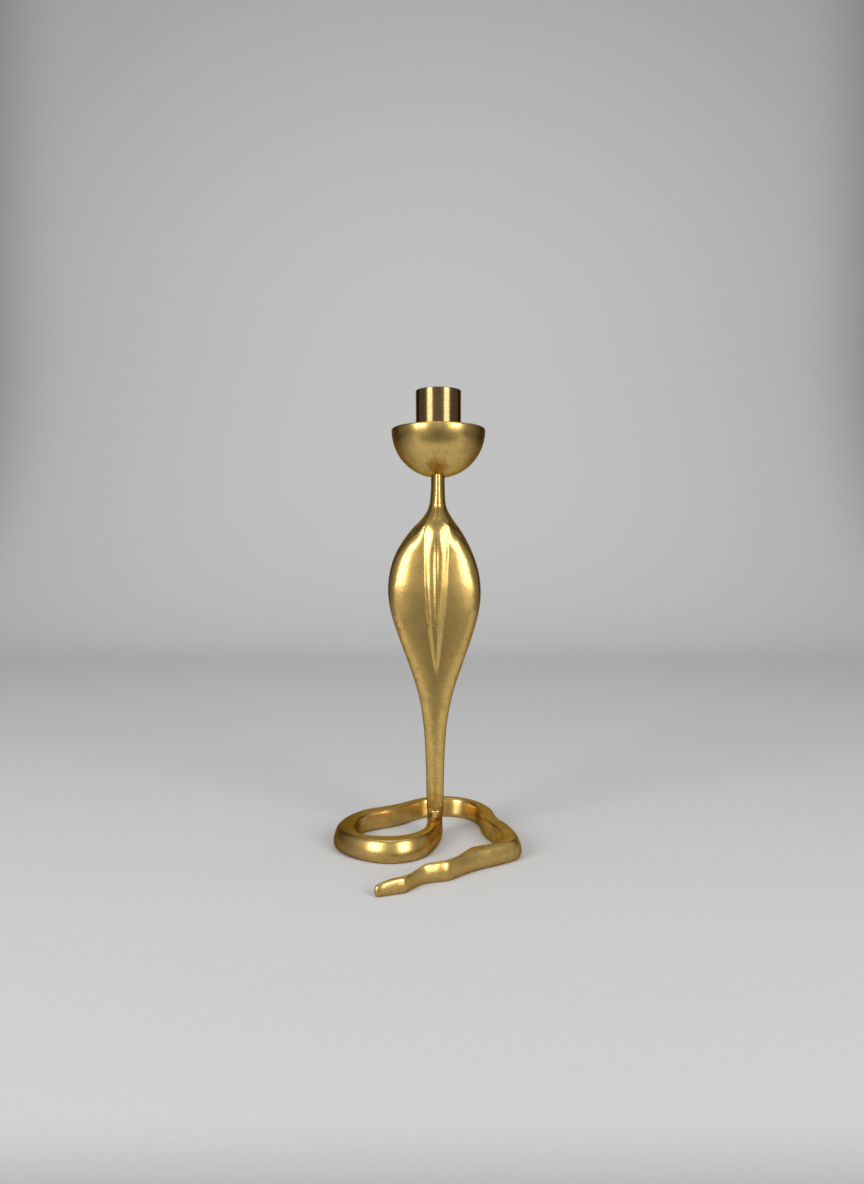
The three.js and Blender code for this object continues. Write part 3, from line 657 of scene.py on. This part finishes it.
def cast_brass(name, finish, tarnish, speckle, side_shade_reach, foot=None, rim=None, arch=None, beads=None):
    """Polished cast brass: warm clouds of tarnish, fine specks, small pits and scratches, and
    painted shade in some places.

    tarnish sets how much of the surface is browner and speckle how strongly the specks tint it
    towards tarnish. The brass is painted darker beyond side_shade_reach, a near and a far distance
    sideways from the candle's axis: painted shade for the dimmer reflections at the sides. foot is
    the height under which a coil is painted darker towards the table, painted shade near where it
    stands; its top, above that height, is a little browner too. rim is a far and a near distance
    in front of the axis, between which a hood is painted dark towards its edge, painted shade for
    the dark reflections at its rim. arch is the height of the fine ridge above a hood's face; from
    a little under it upwards the brass is painted browner, painted shade. beads is the pitch and
    the place of the chased line down the hood.
    """
    w = Wiring(name)
    place = w.add("TexCoord").outputs["Object"]
    clouds = w.noise(place, 48, 3.0)
    mottle = w.noise(place, 300, 3.0, 0.6)
    uneven = w.math("SUBTRACT", mottle, 0.5)
    fine = w.noise(place, 1150, 2.0, 0.6)
    patches = w.plus(w.math("MULTIPLY", clouds, 0.55), mottle, 0.45)
    dull = w.steps(patches, 0.62 - 0.2 * tarnish, 0.85 - 0.2 * tarnish)
    specks = w.steps(w.plus(w.math("MULTIPLY", fine, 0.7), mottle, 0.3), 0.42, 0.62)
    axis = w.add("SeparateXYZ", {"Vector": place})
    aside = w.math("ABSOLUTE", w.math("SUBTRACT", axis.outputs["X"], AXIS[0] * MM))
    # Painted shade: the brass is painted darker sideways from the candle's axis, for the dimmer reflections
    # at the sides.
    side_shade = w.steps(w.plus(aside, uneven, 0.003), *side_shade_reach)
    brown_and_shade = w.plus(w.math("MULTIPLY", dull, 0.5), specks, speckle)
    brown_and_shade = w.plus(brown_and_shade, side_shade, 0.7)
    # Painted shade: a hood is painted dark towards its edge on its lower part, for the dark reflections at
    # its rim.
    if rim:
        depth = w.plus(axis.outputs["Y"], uneven, 0.002)
        behind = w.steps(depth, AXIS[1] * MM - rim[0], AXIS[1] * MM - rim[1])
        behind = w.math("MULTIPLY", behind, w.steps(axis.outputs["Z"], *RIM_SHADE_FADE))
        brown_and_shade = w.plus(brown_and_shade, behind, 0.7)
    # Painted shade: from a little under the arch upwards, over the shoulders and neck, the brass is painted
    # browner.
    if arch:
        above = w.math("SUBTRACT", w.plus(axis.outputs["Z"], aside, ARCH_FALL), arch)
        brown_and_shade = w.plus(brown_and_shade, w.steps(above, *ARCH_SHADE), 0.3)
        ridge = w.steps(w.math("ABSOLUTE", above), *ARCH_RIDGE)
    # Painted shade: a coil is painted darker towards the table, near where it stands; its top is a little
    # browner too.
    if foot:
        brown_and_shade = w.plus(brown_and_shade, w.steps(axis.outputs["Z"], foot, 0.1 * foot), 0.6)
        brown_and_shade = w.plus(brown_and_shade, w.steps(axis.outputs["Z"], foot, foot + 0.0012), 0.3)
    cells = w.add("TexVoronoi", {"Vector": place, "Scale": 190.0, "Randomness": 1.0})
    chosen = w.add("SeparateColor", {"Color": cells.outputs["Color"]}).outputs["Red"]
    pit = w.math("MULTIPLY", w.steps(cells.outputs["Distance"], 0.09, 0.03), w.steps(chosen, 0.8, 0.84))
    # The browner mask holds real tarnish and specks, and painted shade from the sides, rim, arch and foot.
    color = w.blend(brown_and_shade, opaque(finish.cast_color), opaque(finish.tarnish_and_shade_color))
    # More painted shade on the sides, blended towards the dark colour.
    color = w.blend(w.math("MULTIPLY", side_shade, 0.4), color, opaque(finish.pit_and_side_shade_color))
    color = w.blend(pit, color, opaque(finish.pit_and_side_shade_color))
    rough = w.steps(fine, 0.3, 0.7, finish.roughness, finish.roughness + 0.05)
    rough = w.plus(rough, brown_and_shade, 0.06)
    turned = w.add("Mapping", {"Vector": place, "Rotation": (0.3, 0.75, 0.2), "Scale": (60, 40, 1500)})
    scratch = w.math("MULTIPLY", w.steps(w.noise(turned.outputs["Vector"], 1.0, 1.0), 0.66, 0.74),
                     w.steps(clouds, 0.5, 0.6))
    normal = w.bump(w.noise(place, 85, 1.0), 0.00016)
    normal = w.bump(fine, 0.00002, under=normal)
    normal = w.bump(scratch, 0.000004, under=normal)
    normal = w.bump(w.math("MULTIPLY", pit, -1.0), 0.0002, under=normal)
    if arch:
        normal = w.bump(ridge, 0.00005, under=normal)
    if beads:
        normal, color = beaded_line(w, place, beads, normal, color)
    shine, haze = (w.add("BsdfPrincipled", {
        "Base Color": color, "Metallic": 1.0, "Roughness": value, "Normal": normal,
        "Specular Tint": opaque(finish.edge_tint),
    }).outputs["BSDF"] for value in (rough, finish.haze_roughness))
    mixed = w.add("MixShader", {0: finish.haze, 1: shine, 2: haze})
    w.tree.links.new(mixed.outputs["Shader"], w.output.inputs["Surface"])
    return w.material


def beaded_line(w, place, beads, normal, color):
    """A narrow chased groove down the hood's middle, with a bead at every pitch along it; the groove is
    painted darker, painted shade.
    """
    pitch, line_x, low, high = beads
    axis = w.add("SeparateXYZ", {"Vector": place})
    away = w.math("ABSOLUTE", w.math("SUBTRACT", axis.outputs["X"], line_x))
    inside = w.math("MULTIPLY", w.steps(axis.outputs["Z"], low, low + 0.012),
                    w.steps(axis.outputs["Z"], high, high - 0.012))
    front = w.steps(axis.outputs["Y"], AXIS[1] * MM - 0.004, AXIS[1] * MM - 0.008)
    groove = w.math("MULTIPLY", w.steps(away, 0.0009, 0.0002), w.math("MULTIPLY", inside, front))
    turns = w.plus(w.math("MULTIPLY", axis.outputs["Z"], 2 * math.pi / pitch), w.noise(place, 300, 1.0), 9.0)
    wave = w.math("SINE", turns)
    worn = w.steps(w.noise(place, 420, 2.0), 0.35, 0.65, 0.1, 0.6)
    height = w.math("MULTIPLY", groove, w.math("SUBTRACT", w.math("MULTIPLY", wave, worn), 1.0))
    normal = w.bump(height, 0.00005, under=normal)
    # Painted shade: the groove is painted darker.
    return normal, w.blend(w.math("MULTIPLY", groove, 0.35), color, (0.3, 0.19, 0.07, 1.0))


def turned_brass(name, color, edge_tint, roughness):
    """Brass from the lathe: fine rings round the axis, a light tarnish and a soft shine."""
    w = Wiring(name)
    place = w.add("TexCoord").outputs["Object"]
    rings = w.add("Mapping", {"Vector": place, "Scale": (40, 40, 5200)})
    tool_marks = w.noise(rings.outputs["Vector"], 1.0, 2.0)
    clouds = w.noise(place, 130, 3.0, 0.6)
    shade = w.steps(w.plus(w.math("MULTIPLY", tool_marks, 0.35), clouds, 0.65), 0.35, 0.75)
    dark = [part * 0.62 for part in color]
    tone = w.blend(shade, opaque(color), opaque(dark))
    rough = w.plus(roughness - 0.05, clouds, 0.1)
    normal = w.bump(tool_marks, 0.000008)
    normal = w.bump(w.noise(place, 1400, 2.0), 0.000012, under=normal)
    shader = w.add("BsdfPrincipled", {
        "Base Color": tone, "Metallic": 1.0, "Roughness": rough, "Normal": normal,
        "Specular Tint": opaque(edge_tint), "Anisotropic": 0.3,
    })
    w.tree.links.new(shader.outputs["BSDF"], w.output.inputs["Surface"])
    return w.material


def paper(name, color):
    """Matt studio paper that is painted dark in a wedge in front of the holder and far out to the sides:
    painted shade for the unlit floor beyond the lights.
    """
    w = Wiring(name)
    place = w.add("TexCoord").outputs["Object"]
    axis = w.add("SeparateXYZ", {"Vector": place})
    # Painted shade: the floor is painted dark in front of the holder and far out to the sides.
    front = w.steps(axis.outputs["Y"], AXIS[1] * MM - 0.33, AXIS[1] * MM - 0.25)
    aside = w.math("ABSOLUTE", axis.outputs["X"])
    spread = w.plus(aside, w.math("SUBTRACT", axis.outputs["Y"], AXIS[1] * MM), 0.8)
    front = w.math("MAXIMUM", front, w.steps(spread, 0.02, 0.3))
    side = w.steps(aside, 1.5, 0.95)
    fibres = w.steps(w.noise(place, 260, 3.0, 0.7), 0.2, 0.8, 0.985, 1.015)
    shade = [part * 0.16 for part in color]
    tone = w.blend(w.math("MULTIPLY", front, side), opaque(shade), opaque(color))
    tone = w.add("VectorMath", {0: tone, "Scale": fibres}, operation="SCALE").outputs["Vector"]
    shader = w.add("BsdfPrincipled", {"Base Color": tone, "Roughness": 0.8, "Specular IOR Level": 0.2})
    w.tree.links.new(shader.outputs["BSDF"], w.output.inputs["Surface"])
    return w.material


class HOLDER_OT_coil(bpy.types.Operator):
    """Make the cast coil that the holder stands on"""

    bl_idname = "candle_holder.coil"
    bl_label = "Coiled Tail"

    def execute(self, context):
        shape, finish = context.scene.casting_shape, context.scene.brass_finish
        grid = wander(coil_grid(shape.around), 9, shape.wobble / MM * 0.6)
        grid[..., 2] = np.maximum(grid[..., 2], 0)
        piece = closed_mesh("coiled_tail", grid)
        brass = cast_brass("coil brass", finish, tarnish=0.5, speckle=0.35, side_shade_reach=(0.034, 0.056), foot=0.009)
        stand_for(piece, "coil_base", brass)
        return {"FINISHED"}


class HOLDER_OT_upright(bpy.types.Operator):
    """Make the stem with its hood, lancet and neck"""

    bl_idname = "candle_holder.upright"
    bl_label = "Cobra Upright"

    def execute(self, context):
        shape, finish = context.scene.casting_shape, context.scene.brass_finish
        piece = closed_mesh("cobra_hood", upright_grid(shape.around * 5 // 4))
        beads = (shape.bead_pitch, (AXIS[0] + BEAD_LINE_X) * MM, *(height * MM for height in BEAD_HEIGHTS))
        brass = cast_brass("hood brass", finish, tarnish=0.45, speckle=0.5, side_shade_reach=(0.028, 0.03),
                           rim=(0.0124, 0.0109), arch=ARCH_HEIGHT * MM, beads=beads)
        stand_for(piece, "cobra_upright", brass)
        return {"FINISHED"}


class HOLDER_OT_bowl(bpy.types.Operator):
    """Make the drip bowl"""

    bl_idname = "candle_holder.bowl"
    bl_label = "Drip Bowl"

    def execute(self, context):
        shape, finish = context.scene.casting_shape, context.scene.brass_finish
        grid = turned_grid(bowl_profile(shape.bowl_wall / MM), 320)
        piece = closed_mesh("bowl", wander(grid, 12, shape.wobble / MM * 0.4), ring=True)
        brass = cast_brass("bowl brass", finish, tarnish=0.6, speckle=0.45, side_shade_reach=(0.008, 0.024))
        stand_for(piece, "drip_bowl", brass)
        return {"FINISHED"}


class HOLDER_OT_socket(bpy.types.Operator):
    """Make the turned candle socket"""

    bl_idname = "candle_holder.socket"
    bl_label = "Candle Socket"

    def execute(self, context):
        shape, finish = context.scene.casting_shape, context.scene.brass_finish
        piece = closed_mesh("socket_tube", turned_grid(socket_profile(shape.bore / MM), 256), ring=True)
        brass = turned_brass("socket brass", finish.turned_color, (0.8, 0.62, 0.4), 0.18)
        stand_for(piece, "candle_socket", brass)
        return {"FINISHED"}


class HOLDER_OT_fasteners(bpy.types.Operator):
    """Give the spacer, the screws and the washers their turned finish"""

    bl_idname = "candle_holder.fasteners"
    bl_label = "Screws And Washers"

    def execute(self, context):
        finish = context.scene.brass_finish
        plain = turned_brass("screw brass", (0.7, 0.5, 0.22), finish.edge_tint, 0.3)
        ring = turned_brass("spacer brass", finish.turned_color, finish.edge_tint, 0.3)
        for node in ("socket_screw", "socket_washer", "base_screw", "base_washer"):
            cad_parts[node].material_slots[0].material = plain
        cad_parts["socket_spacer"].material_slots[0].material = ring
        return {"FINISHED"}


def sweep_mesh():
    """A floor that curves up into a wall: flat, then a quarter circle, then straight up."""
    back, radius, top, half_width = 1.15, 0.75, 3.2, 4.0
    turn = np.linspace(0, np.pi / 2, 40)
    y = np.concatenate([np.linspace(-4, back, 40, endpoint=False), back + radius * np.sin(turn),
                        np.full(10, back + radius)])
    z = np.concatenate([np.zeros(40), radius * (1 - np.cos(turn)), np.linspace(radius, top, 11)[1:]])
    x = np.linspace(-half_width, half_width, 3)
    points = np.stack([np.broadcast_to(x[None, :], (len(y), 3)), np.broadcast_to(y[:, None], (len(y), 3)),
                       np.broadcast_to(z[:, None], (len(y), 3))], -1).reshape(-1, 3)
    row, column = np.meshgrid(np.arange(len(y) - 1), np.arange(2), indexing="ij")
    first = row * 3 + column
    quads = np.stack([first, first + 1, first + 4, first + 3], -1).reshape(-1, 4)
    mesh = bpy.data.meshes.new("sweep")
    mesh.from_pydata(points.tolist(), [], quads.tolist())
    mesh.shade_smooth()
    return mesh


def panel_light(name, azimuth, distance, width, low, high, power):
    """A softbox: an upright panel of light between two heights that faces the candle's axis."""
    light = bpy.data.lights.new(name, "AREA")
    light.shape = "RECTANGLE"
    light.size, light.size_y = width, high - low
    light.energy = power
    lamp = bpy.data.objects.new(name, light)
    angle = math.radians(azimuth)
    lamp.location = (AXIS[0] * MM + distance * math.sin(angle), AXIS[1] * MM - distance * math.cos(angle),
                     (low + high) / 2)
    lamp.rotation_euler = (math.pi / 2, 0, angle)
    lamp.visible_camera = False
    bpy.context.scene.collection.objects.link(lamp)
    return lamp


class HOLDER_OT_studio(bpy.types.Operator):
    """Set up the camera, the softboxes and the paper sweep"""

    bl_idname = "candle_holder.studio"
    bl_label = "Studio"

    def execute(self, context):
        scene, studio = context.scene, context.scene.studio_setup
        camera_data = bpy.data.cameras.new("camera")
        camera_data.sensor_width = SENSOR
        camera_data.lens = FOCAL_PIXELS / PICTURE_HEIGHT * SENSOR
        camera_data.clip_start = 0.01
        camera = bpy.data.objects.new("camera", camera_data)
        camera.location = Vector((np.array(CAMERA_PLACE) + AXIS) * MM)
        camera.rotation_euler = (math.radians(90 - CAMERA_PITCH), 0, 0)
        scene.collection.objects.link(camera)
        scene.camera = camera
        sweep = bpy.data.objects.new("sweep", sweep_mesh())
        sweep.data.materials.append(paper("paper", studio.paper_color))
        scene.collection.objects.link(sweep)
        panel_light("left softbox", -45, 1.0, 0.46, 0.26, 0.84, studio.key_power)
        panel_light("right softbox", 41.5, 1.0, 0.46, 0.26, 0.84, studio.second_power)
        panel_light("front fill", 0, 0.95, 0.9, 0.24, 1.2, studio.fill_power)
        overhead = panel_light("overhead light", 0, 0.05, 1.4, 1.1, 2.3, studio.overhead_power)
        overhead.rotation_euler = (0, 0, 0)
        for low, distance, tilt, share in ((0.5, 0.9, 90, 1), (1.5, 0.45, 62, 2.1)):
            backdrop = panel_light("backdrop light", 180, distance, 2.6, low, low + 0.45,
                                   studio.backdrop_power * share)
            backdrop.rotation_euler = (math.radians(tilt), 0, 0)
        world = bpy.data.worlds.new("room")
        world.use_nodes = True
        world.node_tree.nodes["Background"].inputs["Color"].default_value = opaque(studio.room_color)
        scene.world = world
        scene.view_settings.view_transform = "Standard"
        return {"FINISHED"}


class HOLDER_PT_panel(bpy.types.Panel):
    """Lists the pieces and their settings in the sidebar"""

    bl_idname = "HOLDER_PT_panel"
    bl_label = "Cobra Candle Holder"
    bl_space_type = "VIEW_3D"
    bl_region_type = "UI"
    bl_category = "Candle Holder"

    def draw(self, context):
        layout = self.layout
        for operator in OPERATORS:
            layout.operator(operator.bl_idname)
        for group in SETTINGS:
            settings = getattr(context.scene, group)
            for key in settings.bl_rna.properties.keys():
                if key not in ("rna_type", "name"):
                    layout.prop(settings, key)


SETTINGS = {"casting_shape": CastingShape, "brass_finish": BrassFinish, "studio_setup": StudioSetup}
OPERATORS = (HOLDER_OT_coil, HOLDER_OT_upright, HOLDER_OT_bowl, HOLDER_OT_socket,
             HOLDER_OT_fasteners, HOLDER_OT_studio)


def register():
    for group in (*SETTINGS.values(), *OPERATORS, HOLDER_PT_panel):
        bpy.utils.register_class(group)
    for name, group in SETTINGS.items():
        setattr(bpy.types.Scene, name, PointerProperty(type=group))


def unregister():
    for name in SETTINGS:
        delattr(bpy.types.Scene, name)
    for group in (HOLDER_PT_panel, *reversed(OPERATORS), *SETTINGS.values()):
        bpy.utils.unregister_class(group)


def main():
    register()
    bpy.ops.candle_holder.studio()
    bpy.ops.candle_holder.coil()
    bpy.ops.candle_holder.upright()
    bpy.ops.candle_holder.bowl()
    bpy.ops.candle_holder.socket()
    bpy.ops.candle_holder.fasteners()


if __name__ == "__main__":
    main()
